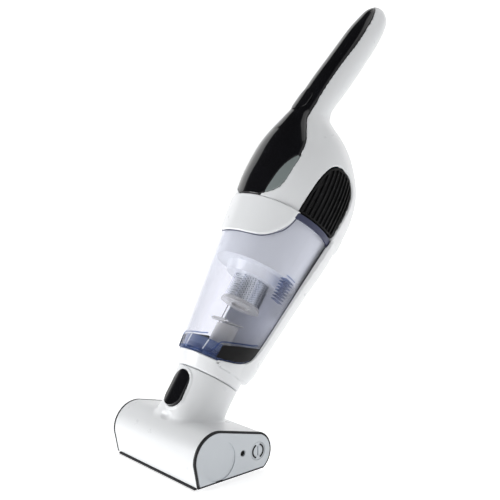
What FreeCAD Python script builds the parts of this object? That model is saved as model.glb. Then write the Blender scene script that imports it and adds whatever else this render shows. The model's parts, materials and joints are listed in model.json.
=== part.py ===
"""Cordless handheld vacuum cleaner with a small motorised brush head.

World frame, millimetres: +X is the head's width, +Y runs from the brush edge to the back, +Z is up.
The floor is z = 0 and the origin lies on it, under the point where the body axis meets the head.
The body (collar, dust cup, motor housing, handle) is built upright in its own frame, where u is the
distance along the body axis and v is the distance from the axis towards the front face.  Every body
part is then leaned back by LEAN and lifted to AXIS_HEIGHT.
"""
import FreeCAD, Part

import math
import os

V = FreeCAD.Vector

# Placement of the body frame
LEAN = 35.0
AXIS_HEIGHT = 40.0

# General
WALL = 2.4
GAP = 0.4

# Brush head, in the world frame
HEAD_HALF = 70.0
CAP_THICK = 4.6
TRIM_WIDTH = 1.8
TRIM_LOW = 68.2
TRIM_TOP = 69.6
HEAD_WALL = 2.2
SOLE_Z = 2.6
DRUM_Y = -23.8
DRUM_Z = 27.3
DRUM_R = 26.6
TOP_SLOPE = 14.25
TOP_RUN = 53.6
BRUSH_Y = -20.5
BRUSH_Z = 24.0
BRISTLE_R = 23.2
CORE_R = 14.0
BRUSH_MOTOR_Y = 31.0
BRUSH_MOTOR_Z = 21.5
BRUSH_MOTOR_R = 12.0
BRUSH_PULLEY_R = 11.0
MOTOR_PULLEY_R = 5.0
PARTITION_Y = 15.0
BELT_WALL_X = -50.0
COIN_Y = 29.4
COIN_Z = 22.0
COIN_R = 9.0
ROLLER_X = 40.0
ROLLER_Y = 25.0
ROLLER_R = 4.6

# Neck of the head: section centre and radius at two stations along the body axis
NECK_END = 47.4
NECK_WALL = 2.6

# Nozzle tube that the neck slides over
NOZZLE_R = 24.0
NOZZLE_V = 7.0

# Dust cup: a cone whose axis is parallel to the body axis
CUP_V = 11.5
CUP_LOW = 64.0
CUP_HIGH = 235.0
CUP_R_LOW = 38.0
CUP_TAPER = 0.115
CUP_WALL = 2.0
PIPE_V = 14.0
PIPE_R = 12.0
FLAP_V = 28.5
FLAP_U = 107.6

# Motor housing and handle
HOUSING_LOW = 237.0
MOTOR_V = 8.0
SOCKET_U = 292.0
SOCKET_R = 2.9

# Handle and housing sections: u, half width, lowest v, highest v
DOME = (
    (237.0, 57.5, -64.0, 72.5),
    (262.0, 58.5, -66.5, 76.3),
    (285.0, 57.5, -65.0, 77.0),
    (305.0, 54.0, -58.5, 76.0),
    (322.0, 48.0, -48.5, 73.5),
    (338.0, 40.0, -35.0, 69.4),
    (349.0, 31.0, -20.0, 66.3),
    (356.0, 20.0, -2.0, 62.0),
)
HANDLE = (
    (325.0, 20.5, 28.0, 71.0),
    (350.0, 20.5, 25.0, 66.6),
    (375.0, 20.5, 22.4, 62.4),
    (400.0, 20.7, 17.4, 58.8),
    (430.0, 20.8, 12.1, 53.5),
    (460.0, 20.3, 7.6, 48.2),
    (490.0, 19.1, 4.3, 42.5),
    (508.0, 16.6, 4.0, 37.6),
    (520.0, 12.2, 7.2, 32.8),
    (527.0, 6.0, 12.8, 27.2),
)
# Spine behind the cup: u, radius, centre v
SPINE = (
    (59.0, 37.2, 4.8),
    (68.0, 39.4, 2.8),
    (80.0, 40.4, 2.0),
    (100.0, 41.4, 0.5),
    (136.0, 44.4, -2.0),
    (190.0, 50.8, -4.2),
    (248.0, 60.0, -5.0),
)

PARTS = {}


# ------------------------------------------------------------------ helpers
def at(x, v, u):
    """Point in the body frame."""
    return V(x, -v, u)


def lean(shape):
    """Move a shape from the body frame to the world frame."""
    turn = FreeCAD.Rotation(V(1, 0, 0), -LEAN)
    place = FreeCAD.Placement(V(0, 0, AXIS_HEIGHT), turn)
    return shape.transformed(place.toMatrix(), True)


def add(name, shape, leaned=True):
    """Store one node; body parts are leaned into the world frame."""
    placed = lean(shape) if leaned else shape
    merged = placed.removeSplitter().copy()
    PARTS[name] = merged if merged.isValid() else placed


def ring(u, half, low, high, power=2.0, count=24):
    """Closed superelliptic outline across the body axis."""
    mid = (low + high) / 2
    rise = (high - low) / 2
    points = []
    for i in range(count):
        angle = 2 * math.pi * i / count
        c = math.cos(angle)
        s = math.sin(angle)
        x = half * math.copysign(abs(c) ** (2 / power), c)
        v = mid + rise * math.copysign(abs(s) ** (2 / power), s)
        points.append(at(x, v, u))
    curve = Part.BSplineCurve()
    curve.interpolate(Points=points, PeriodicFlag=True)
    return Part.Wire(curve.toShape())


def loft(wires):
    return Part.makeLoft(wires, True, False)


def section_loft(table, inset=0.0):
    """Loft through (u, half width, low v, high v) rows, pulled in by inset, the last end cap too."""
    rows = []
    for u, half, low, high in table:
        end = u - inset if u == table[-1][0] else u
        rows.append(ring(end, half - inset, low + inset, high - inset))
    return loft(rows)


def tube_along(radius, u0, u1, v=0.0, radius_end=None):
    """Cylinder or cone along the body axis."""
    end = radius if radius_end is None else radius_end
    if abs(end - radius) < 1e-6:
        return Part.makeCylinder(radius, u1 - u0, at(0, v, u0), V(0, 0, 1))
    return Part.makeCone(radius, end, u1 - u0, at(0, v, u0), V(0, 0, 1))


def cup_radius(u):
    return CUP_R_LOW + CUP_TAPER * (u - 65.0)


def cup_cone(u0, u1, offset=0.0):
    """Solid cone concentric with the dust cup, grown by offset."""
    return tube_along(cup_radius(u0) + offset, u0, u1, CUP_V, cup_radius(u1) + offset)


def extrude(wire, direction):
    return Part.Face(wire).extrude(direction)


def side_prism(points, x0, x1, smooth=True):
    """Outline given as (u, v) pairs, extruded across the width from x0 to x1."""
    base = [V(x0, -v, u) for u, v in points]
    if smooth:
        curve = Part.BSplineCurve()
        curve.interpolate(Points=base, PeriodicFlag=True)
        wire = Part.Wire(curve.toShape())
    else:
        wire = Part.makePolygon(base + [base[0]])
    return extrude(wire, V(x1 - x0, 0, 0))


def front_prism(half_widths, v0, v1):
    """Outline mirrored about x = 0 from (u, half width) rows, extruded from v0 to v1."""
    right = [at(half, v0, u) for u, half in half_widths]
    left = [at(-half, v0, u) for u, half in reversed(half_widths)]
    sides = []
    for points in (right, left):
        curve = Part.BSplineCurve()
        curve.interpolate(points)
        sides.append(curve.toShape())
    ends = [Part.makeLine(right[-1], left[0]), Part.makeLine(left[-1], right[0])]
    wire = Part.Wire([sides[0], ends[0], sides[1], ends[1]])
    return extrude(wire, V(0, v0 - v1, 0))


def stadium(u0, u1, half, v0, v1):
    """Round-ended bar lying along the body axis, from v0 up to v1."""
    a0 = at(half, v0, u0 + half)
    a1 = at(half, v0, u1 - half)
    b1 = at(-half, v0, u1 - half)
    b0 = at(-half, v0, u0 + half)
    edges = [
        Part.makeLine(a0, a1),
        Part.Arc(a1, at(0, v0, u1), b1).toShape(),
        Part.makeLine(b1, b0),
        Part.Arc(b0, at(0, v0, u0), a0).toShape(),
    ]
    return extrude(Part.Wire(edges), V(0, v0 - v1, 0))


def x_bar(radius, x0, x1, y, z):
    """Cylinder along X in the world frame."""
    return Part.makeCylinder(radius, x1 - x0, V(x0, y, z), V(1, 0, 0))


def box(x0, x1, y0, y1, z0, z1):
    return Part.makeBox(x1 - x0, y1 - y0, z1 - z0, V(x0, y0, z0))


def fuse(shapes):
    first = shapes[0]
    return first.fuse(shapes[1:]) if len(shapes) > 1 else first


def spin_copies(shape, count, centre, axis, start=0.0):
    """Evenly spaced turned copies."""
    copies = []
    for i in range(count):
        one = shape.copy()
        one.rotate(centre, axis, start + 360.0 * i / count)
        copies.append(one)
    return copies


# ------------------------------------------------------------------ brush head
def head_outline(x, inset=0.0):
    """D-shaped end outline: round front, sloping top, round back, flat sole."""
    slope = math.radians(TOP_SLOPE)
    centre = V(x, DRUM_Y, DRUM_Z)

    def on_drum(degrees):
        angle = math.radians(degrees)
        return centre + V(0, DRUM_R * math.cos(angle), DRUM_R * math.sin(angle))

    top_front = on_drum(90 - TOP_SLOPE)
    top_back = top_front + V(0, TOP_RUN * math.cos(slope), -TOP_RUN * math.sin(slope))
    front_low = V(x, DRUM_Y - DRUM_R + 4.6, SOLE_Z)
    front_high = on_drum(183)
    back_mid = V(x, top_back.y + 12.4, top_back.z - 18.1)
    back_low = V(x, top_back.y + 2.4, SOLE_Z)
    edges = [
        Part.makeLine(front_low, front_high),
        Part.Arc(front_high, on_drum(125), top_front).toShape(),
        Part.makeLine(top_front, top_back),
        Part.Arc(top_back, back_mid, back_low).toShape(),
        Part.makeLine(back_low, front_low),
    ]
    wire = Part.Wire(edges)
    if inset:
        wire = Part.Face(wire).makeOffset2D(-inset).OuterWire
    return wire


def head_bar(x0, x1, inset=0.0):
    return extrude(head_outline(x0, inset), V(x1 - x0, 0, 0))


def neck_loft(inset=0.0, low=-20.0, high=NECK_END):
    """Neck: round at the collar, flat-sided where it grows out of the head."""
    rows = []
    for u, half, radius, centre, power in (
        (-20.0, 33.2, 30.0, 3.6, 3.6),
        (-6.0, 32.6, 31.0, 4.2, 3.2),
        (8.0, 32.0, 31.6, 4.9, 2.5),
        (24.0, 32.4, 32.4, 6.0, 2.1),
        (48.0, 33.9, 33.9, 7.2, 2.0),
    ):
        rows.append(ring(u, half - inset, centre - radius + inset, centre + radius - inset, power))
    whole = loft(rows)
    return whole.common(Part.makeBox(200, 200, high - low, V(-100, -100, low)))


def head_shell():
    inner_x = HEAD_HALF - CAP_THICK - 0.9
    outer = head_bar(-TRIM_LOW, TRIM_LOW)
    inner = head_bar(-TRIM_LOW - 1, TRIM_LOW + 1, HEAD_WALL)
    neck = lean(neck_loft())
    bore = lean(neck_loft(NECK_WALL)).cut(outer)
    shell = outer.fuse(neck).cut(inner).cut(bore)
    shell = shell.cut(box(-inner_x, inner_x, DRUM_Y - DRUM_R + 6.6, 34.0, -5, SOLE_Z + HEAD_WALL))
    partition = box(BELT_WALL_X, inner_x - 0.6, PARTITION_Y, PARTITION_Y + 1.8, SOLE_Z + HEAD_WALL, 60)
    belt_wall = box(BELT_WALL_X - 1.8, BELT_WALL_X, -60, 60, SOLE_Z + HEAD_WALL, 60)
    belt_wall = belt_wall.cut(x_bar(6.0, -60, -40, BRUSH_Y, BRUSH_Z))
    belt_wall = belt_wall.cut(x_bar(4.0, -60, -40, BRUSH_MOTOR_Y, BRUSH_MOTOR_Z))
    walls = partition.fuse(belt_wall).common(head_bar(-inner_x, inner_x, HEAD_WALL - 0.2))
    shell = shell.fuse(walls)
    duct = lean(tube_along(14.0, -20, 12, 8.0))
    pocket = lean(stadium(3.6, 43.4, 11.9, 32.0, 45.0))
    return shell.cut(duct).cut(pocket)


def build_head():
    inner_x = HEAD_HALF - CAP_THICK - 0.9
    add("head_shell", head_shell(), False)

    sole = box(-inner_x, inner_x, DRUM_Y - DRUM_R + 6.6, 34.0, SOLE_Z, SOLE_Z + HEAD_WALL)
    sole = sole.cut(box(-58, 58, -38, -3, -5, 20))
    for side in (-1, 1):
        mid = side * ROLLER_X
        sole = sole.cut(box(mid - 7.5, mid + 7.5, 19.5, 31.0, -5, 20))
        sole = sole.cut(Part.makeCylinder(2.2, 20, V(side * 30.0, 8.0, -5)))
        sole = sole.cut(Part.makeCylinder(4.4, SOLE_Z + 1.2, V(side * 30.0, 8.0, 0)))
    for x in (-ROLLER_X - 8.6, -ROLLER_X + 8.6, ROLLER_X - 8.6, ROLLER_X + 8.6):
        sole = sole.fuse(box(x - 0.9, x + 0.9, 22.5, 27.5, SOLE_Z + HEAD_WALL, 8.0))
    add("sole_plate", sole.cut(fuse(roller_axles())), False)

    screws = []
    for side in (-1, 1):
        head = Part.makeCylinder(4.0, 0.9, V(side * 30.0, 8.0, SOLE_Z + 0.3))
        shank = Part.makeCylinder(2.0, 9.0, V(side * 30.0, 8.0, SOLE_Z + 1.2))
        slot = box(side * 30.0 - 3, side * 30.0 + 3, 7.6, 8.4, SOLE_Z, SOLE_Z + 0.8)
        screws.append(head.fuse(shank).cut(slot))
    add("sole_screws", Part.makeCompound(screws), False)

    # Felt glide strips carry the head; their undersides are the rest face
    strips = []
    for y0 in (-1.0, 34.2 - 20.0):
        strips.append(box(-56, 56, y0, y0 + 3.6, 0.0, SOLE_Z))
    add("glide_strips", Part.makeCompound(strips), False)

    front = DRUM_Y - DRUM_R
    bumper = box(-inner_x, inner_x, front + 3.0, front + 6.4, 0.4, SOLE_Z)
    bumper = bumper.makeFillet(0.7, [e for e in bumper.Edges if abs(e.BoundBox.XLength) > 50][:2])
    add("bumper_strip", bumper, False)

    bushings = []
    for side, label in ((-1, "left"), (1, "right")):
        near = side * inner_x
        cap_end = side * HEAD_HALF
        x0, x1 = sorted((side * TRIM_LOW, side * TRIM_TOP))
        trim = head_bar(x0, x1).cut(head_bar(x0 - 1, x1 + 1, TRIM_WIDTH))
        add("trim_band_" + label, trim, False)
        rim = head_bar(*sorted((side * TRIM_LOW, cap_end)), TRIM_WIDTH + 0.05)
        x0, x1 = sorted((near, cap_end))
        cap = head_bar(x0, x1, HEAD_WALL + 0.2).fuse(rim)
        outer_ring = x_bar(20.0, x0 - 1, x1 + 1, BRUSH_Y, BRUSH_Z)
        dish_low = min(cap_end - side, cap_end)
        dish_high = max(cap_end - side, cap_end)
        dish = outer_ring.common(box(dish_low, dish_high, -90, 90, -9, 90))
        cap = cap.cut(dish)
        boss = x_bar(8.0, *sorted((near - side * 2.6, near)), BRUSH_Y, BRUSH_Z)
        seat = x_bar(4.6, *sorted((near - side * 3.0, near + side * 1.5)), BRUSH_Y, BRUSH_Z)
        cap = cap.fuse(boss).cut(seat)
        cap = cap.cut(x_bar(3.2, x0 - 1, x1 + 1, 9.5, 24.4))
        if side > 0:
            cap = cap.cut(x_bar(COIN_R + GAP, x0 - 1, x1 + 1, COIN_Y, COIN_Z))
        else:
            cap = cap.cut(x_bar(3.2, x0 - 1, x1 + 1, COIN_Y, COIN_Z))
        add("end_cap_" + label, cap, False)
        bush = x_bar(4.6, *sorted((near - side * 2.6, near + side * 1.5)), BRUSH_Y, BRUSH_Z)
        bush = bush.cut(x_bar(2.55, x0 - 9, x1 + 9, BRUSH_Y, BRUSH_Z))
        bushings.append(bush)
    add("brush_bushings", Part.makeCompound(bushings), False)

    cap_screws = []
    for side, y, z in ((1, 9.5, 24.4), (-1, 9.5, 24.4), (-1, COIN_Y, COIN_Z)):
        top = side * (HEAD_HALF - 1.6)
        head = x_bar(3.0, *sorted((top, top - side * 1.6)), y, z)
        shank = x_bar(1.5, *sorted((top - side * 1.6, top - side * 5.4)), y, z)
        cross = box(top - 0.8, top + 0.8, y - 2.0, y + 2.0, z - 0.35, z + 0.35)
        cross = cross.fuse(box(top - 0.8, top + 0.8, y - 0.35, y + 0.35, z - 2.0, z + 2.0))
        cap_screws.append(head.fuse(shank).cut(cross))
    add("cap_screws", Part.makeCompound(cap_screws), False)

    coin = x_bar(COIN_R, inner_x, HEAD_HALF - 0.3, COIN_Y, COIN_Z)
    for half_turn in (0, 180):
        outer = x_bar(7.6, HEAD_HALF - 1.1, HEAD_HALF, COIN_Y, COIN_Z)
        inner = x_bar(6.4, HEAD_HALF - 2, HEAD_HALF + 1, COIN_Y, COIN_Z)
        arc = outer.cut(inner).common(box(60, 80, COIN_Y + 2.6, COIN_Y + 10, 0, 60))
        arc.rotate(V(0, COIN_Y, COIN_Z), V(1, 0, 0), half_turn)
        coin = coin.cut(arc)
    slot = box(HEAD_HALF - 1.8, HEAD_HALF, COIN_Y - 0.8, COIN_Y + 0.8, COIN_Z - 5.0, COIN_Z + 5.0)
    add("coin_lock", coin.cut(slot), False)

    pipe = lean(tube_along(13.9, -6, 16.0, 8.0)).cut(head_bar(-60, 60, HEAD_WALL))
    flare = lean(tube_along(13.9, 12.6, 16.0, 8.0, 19.6)).cut(head_bar(-60, 60))
    bore = lean(tube_along(12.2, -9, 13.0, 8.0).fuse(tube_along(12.2, 13.0, 16.4, 8.0, 18.6)))
    add("head_duct", pipe.fuse(flare).cut(bore), False)

    block = Part.makeBox(12, 8, 13, at(-6, -18.6, 20.0)).common(neck_loft(NECK_WALL))
    for x in (-3.0, 3.0):
        block = block.cut(tube_along(1.2, 26.0, 40.0, -21.6).translated(V(x, 0, 0)))
    add("head_contacts", block)


def build_brush():
    inner_x = HEAD_HALF - CAP_THICK - 0.9
    axis_start = V(0, BRUSH_Y, BRUSH_Z)
    core = x_bar(CORE_R, BELT_WALL_X + 2, inner_x - 4.0, BRUSH_Y, BRUSH_Z)
    pins = x_bar(2.5, -inner_x - 0.8, inner_x + 0.8, BRUSH_Y, BRUSH_Z)
    core = core.fuse(pins)
    groove = box(-80, 80, BRUSH_Y - 1.3, BRUSH_Y + 1.3, BRUSH_Z + CORE_R - 3.0, BRUSH_Z + CORE_R + 3)
    add("brush_core", core.cut(spin_copies(groove, 4, axis_start, V(1, 0, 0), 45.0)), False)

    strips = []
    for i in range(4):
        foot = box(BELT_WALL_X + 2, inner_x - 4.0, -1.2, 1.2, CORE_R - 3.0, CORE_R - 0.2)
        hair = box(BELT_WALL_X + 3, inner_x - 7.5, -0.8, 0.8, CORE_R - 0.3, BRISTLE_R)
        strip = foot.fuse(hair)
        strip.translate(axis_start)
        strip.rotate(axis_start, V(1, 0, 0), 45.0 + 90.0 * i)
        strips.append(strip)
    add("bristle_strips", Part.makeCompound(strips), False)

    pulley = x_bar(BRUSH_PULLEY_R, -61.0, -54.0, BRUSH_Y, BRUSH_Z)
    flange = x_bar(BRUSH_PULLEY_R + 2.2, -54.0, -53.0, BRUSH_Y, BRUSH_Z)
    pulley = pulley.fuse(flange).cut(x_bar(2.5, -70, -40, BRUSH_Y, BRUSH_Z))
    tooth = x_bar(0.9, -62, -54.6, BRUSH_Y, BRUSH_Z + BRUSH_PULLEY_R + 0.2)
    add("brush_pulley", pulley.cut(spin_copies(tooth, 18, axis_start, V(1, 0, 0))), False)

    motor_axis = V(0, BRUSH_MOTOR_Y, BRUSH_MOTOR_Z)
    can = x_bar(BRUSH_MOTOR_R, BELT_WALL_X + 0.6, 12.0, BRUSH_MOTOR_Y, BRUSH_MOTOR_Z)
    nose = x_bar(3.6, BELT_WALL_X - 1.4, BELT_WALL_X + 0.6, BRUSH_MOTOR_Y, BRUSH_MOTOR_Z)
    can = can.fuse(nose).cut(x_bar(1.55, -60, -30, BRUSH_MOTOR_Y, BRUSH_MOTOR_Z))
    add("brush_motor", can, False)

    small = x_bar(MOTOR_PULLEY_R, -61.0, -54.0, BRUSH_MOTOR_Y, BRUSH_MOTOR_Z)
    shaft = x_bar(1.5, -54.5, -32.0, BRUSH_MOTOR_Y, BRUSH_MOTOR_Z)
    tooth = x_bar(0.9, -62, -53, BRUSH_MOTOR_Y, BRUSH_MOTOR_Z + MOTOR_PULLEY_R + 0.2)
    small = small.cut(spin_copies(tooth, 9, motor_axis, V(1, 0, 0))).fuse(shaft)
    add("motor_pulley", small, False)

    add("drive_belt", belt(0.35, 1.6), False)


def belt(gap, thick):
    """Open belt round both pulleys: two concentric tangent loops."""
    return belt_loop(gap + thick, -60.0, -55.0).cut(belt_loop(gap, -61.0, -54.0))


def belt_loop(grow, x0, x1):
    dy = BRUSH_MOTOR_Y - BRUSH_Y
    dz = BRUSH_MOTOR_Z - BRUSH_Z
    span = math.hypot(dy, dz)
    line = math.atan2(dz, dy)
    wrap = math.acos((BRUSH_PULLEY_R - MOTOR_PULLEY_R) / span)
    edges = []

    def point(y, z, radius, angle):
        return V(x0, y + radius * math.cos(angle), z + radius * math.sin(angle))

    big = BRUSH_PULLEY_R + grow
    small = MOTOR_PULLEY_R + grow
    b_up = point(BRUSH_Y, BRUSH_Z, big, line + wrap)
    b_far = point(BRUSH_Y, BRUSH_Z, big, line + math.pi)
    b_low = point(BRUSH_Y, BRUSH_Z, big, line - wrap)
    s_up = point(BRUSH_MOTOR_Y, BRUSH_MOTOR_Z, small, line + wrap)
    s_far = point(BRUSH_MOTOR_Y, BRUSH_MOTOR_Z, small, line)
    s_low = point(BRUSH_MOTOR_Y, BRUSH_MOTOR_Z, small, line - wrap)
    edges.append(Part.Arc(b_up, b_far, b_low).toShape())
    edges.append(Part.makeLine(b_low, s_low))
    edges.append(Part.Arc(s_low, s_far, s_up).toShape())
    edges.append(Part.makeLine(s_up, b_up))
    return extrude(Part.Wire(edges), V(x1 - x0, 0, 0))


def roller_axles():
    return [x_bar(1.5, mid - 9.5, mid + 9.5, ROLLER_Y, ROLLER_R) for mid in (-ROLLER_X, ROLLER_X)]


def build_rollers():
    for side, label in ((-1, "left"), (1, "right")):
        mid = side * ROLLER_X
        wheel = x_bar(ROLLER_R, mid - 5.5, mid + 5.5, ROLLER_Y, ROLLER_R)
        wheel = wheel.cut(x_bar(1.55, mid - 9, mid + 9, ROLLER_Y, ROLLER_R))
        add("rear_roller_" + label, wheel, False)
    add("roller_axles", Part.makeCompound(roller_axles()), False)


def build_release():
    outer = stadium(4.0, 43.0, 11.5, 34.0, 46.0)
    crown = tube_along(35.0, -20, 70, 6.2)
    hollow = stadium(6.0, 41.0, 9.5, 30.0, 36.4)
    add("head_release_button", outer.common(crown).cut(hollow))
    add("release_spring", leaf_spring(9.0, 38.0, 31.9, 36.3, 0.5, 6.0))


def leaf_spring(u0, u1, low, high, thick, width):
    """Bowed strip, its ends low and its middle high."""
    mid = (u0 + u1) / 2
    upper = Part.Arc(at(0, low, u0), at(0, high, mid), at(0, low, u1)).toShape()
    lower = Part.Arc(at(0, low - thick, u0), at(0, high - thick, mid), at(0, low - thick, u1)).toShape()
    right = Part.makeLine(at(0, low, u1), at(0, low - thick, u1))
    left = Part.makeLine(at(0, low - thick, u0), at(0, low, u0))
    strip = extrude(Part.Wire([upper, right, lower, left]), V(width, 0, 0))
    return strip.translated(V(-width / 2, 0, 0))


# ------------------------------------------------------------------ collar, spine, housing, handle
def frame_region():
    """Side view of the material behind and under the dust cup, as a block."""
    rim_u = CUP_LOW - 0.6
    edge = [(rim_u, 60.0), (rim_u, 38.0), (66.0, 27.0), (71.5, 10.6), (80.0, -1.0), (94.0, -6.0)]
    top = [(250.0, -21.0), (250.0, -90.0), (44.0, -90.0), (44.0, 60.0)]
    base = [V(-90, -v, u) for u, v in edge]
    curve = Part.BSplineCurve()
    curve.interpolate(base[1:])
    chain = [Part.makeLine(base[0], base[1]), curve.toShape()]
    corners = [base[-1]] + [V(-90, -v, u) for u, v in top] + [base[0]]
    for a, b in zip(corners, corners[1:]):
        chain.append(Part.makeLine(a, b))
    return extrude(Part.Wire(chain), V(180, 0, 0))


def spine_loft(inset=0.0):
    return loft([ring(u, r - inset, c - r + inset, c + r - inset) for u, r, c in SPINE])


def main_housing():
    """Dome and handle shell in one piece with the spine and the collar that carry the cup."""
    dome_in = section_loft(DOME, WALL)
    shell = section_loft(DOME).fuse(section_loft(HANDLE)).cut(dome_in).cut(section_loft(HANDLE, WALL))
    shell = shell.cut(cover_region()).cut(grille_region(0.0)).cut(socket_hole())
    rows = ((48.0, 34.6, 8.0), (56.0, 36.2, 9.6), (64.0, 38.0, 11.5))
    collar = loft([ring(u, r, c - r, c + r) for u, r, c in rows])
    frame = spine_loft().fuse(collar).common(frame_region())
    frame = frame.cut(cup_cone(CUP_LOW - 0.6, 250.0, 0.6)).cut(cup_cone(227.6, 250.0, 2.2))
    cable_way = spine_loft(WALL).cut(cup_cone(CUP_LOW - 0.6, 250.0, 0.6 + WALL))
    behind_cup = ((84, -30), (250, -34), (250, -90), (84, -90))
    cable_way = cable_way.common(side_prism(behind_cup, -90, 90, False))
    frame = frame.cut(cable_way).cut(tube_along(NOZZLE_R, 30, 70, NOZZLE_V)).cut(dome_in)
    return shell.fuse(frame)


def socket_hole():
    return Part.makeCylinder(5.1, 20, at(0, -50, SOCKET_U), V(0, 1, 0))


def cover_region(shrink=0.0):
    """Everything in front of the top cover's outline."""
    outline = (
        (235.0, 10.0), (240.5, 20.0), (248.0, 29.5), (260.0, 34.6), (280.0, 36.4), (297.0, 36.2),
        (313.0, 33.2), (327.0, 26.4), (340.0, 19.6), (352.0, 16.4), (371.0, 15.6), (400.0, 15.0),
        (431.0, 15.0), (466.0, 15.4), (492.0, 13.6), (508.0, 10.6), (520.0, 5.0),
    )
    rows = [(u + (shrink if u < 300 else -shrink), half - shrink) for u, half in outline]
    # the block starts inside the shell, above the handle's mid line
    block = front_prism(rows, 0.0, 100.0)
    floor = side_prism(((230, 48), (300, 48), (345, 46), (380, 42), (430, 33), (490, 23), (530, 17),
                        (530, 110), (230, 110)), -60, 60, False)
    return block.common(floor)


def grille_region(shrink):
    """Side cut for the exhaust grille, through both flanks."""
    outline = (
        (230.0, 37.2), (257.0, 36.2), (278.0, 33.4), (296.0, 27.4), (305.5, 18.6), (308.8, 6.0),
        (306.0, -8.0), (296.0, -18.4), (282.0, -21.6), (262.0, -20.4), (230.0, -16.4),
    )
    mid_u, mid_v = 268.0, 9.0
    rows = []
    for u, v in outline:
        length = math.hypot(u - mid_u, v - mid_v)
        rows.append((u + shrink * (mid_u - u) / length, v + shrink * (mid_v - v) / length))
    base = [V(-90, -v, u) for u, v in rows]
    curve = Part.BSplineCurve()
    curve.interpolate(base)
    wire = Part.Wire([curve.toShape(), Part.makeLine(base[-1], base[0])])
    return extrude(wire, V(180, 0, 0))


def grille():
    """Left flank grille: a curved plate with slots that run along the body."""
    band = section_loft(DOME, 1.0).cut(section_loft(DOME, 4.4))
    half = Part.makeBox(90, 200, 200, V(-90, -100, HOUSING_LOW + 0.2))
    body = band.common(grille_region(0.15)).common(half)
    for i in range(7):
        v0 = -15.6 + i * 7.0
        slot = Part.makeBox(180, 3.6, 56 - abs(i - 3) * 3.0, at(-90, v0 + 3.6, 243.0))
        body = body.cut(slot)
    return body


def build_housing():
    add("main_housing", main_housing())
    cover = section_loft(DOME).fuse(section_loft(HANDLE))
    cover = cover.cut(section_loft(DOME, WALL)).cut(section_loft(HANDLE, WALL))
    cover = cover.common(cover_region(0.15))
    window = lens_region()
    button_hole = stadium(349.6, 380.4, 10.4, 40.0, 90.0)
    add("top_cover", cover.cut(window).cut(button_hole))
    lens = section_loft(DOME, 0.2).cut(section_loft(DOME, WALL)).common(window)
    add("display_window", lens.common(cover_region(0.15)))
    left = grille()
    add("exhaust_grille_left", left)
    add("exhaust_grille_right", left.mirror(V(0, 0, 0), V(1, 0, 0)))

    cap = stadium(350.0, 380.0, 10.0, 52.0, 80.0)
    crown = section_loft(HANDLE, -1.0)
    add("power_button", cap.common(crown))
    board = Part.makeBox(24, 1.6, 70, at(-12, 48.6, 335.0))
    add("control_board", board)
    switch = Part.makeBox(8, 1.8, 8, at(-4, 50.4, 361.0))
    add("power_switch", switch)


def lens_region():
    """Crescent window along the right edge of the cover's lower end."""
    inner = [at(19.6, 0, 238.0), at(23.6, 0, 257.7), at(28.6, 0, 278.0), at(35.2, 0, 293.0)]
    outer = [at(35.2, 0, 293.0), at(44.0, 0, 284.0), at(44.0, 0, 238.0)]
    curve = Part.BSplineCurve()
    curve.interpolate(inner)
    chain = [curve.toShape()]
    corners = outer + [inner[0]]
    for a, b in zip(corners, corners[1:]):
        chain.append(Part.makeLine(a, b))
    return extrude(Part.Wire(chain), V(0, -100, 0))


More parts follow.
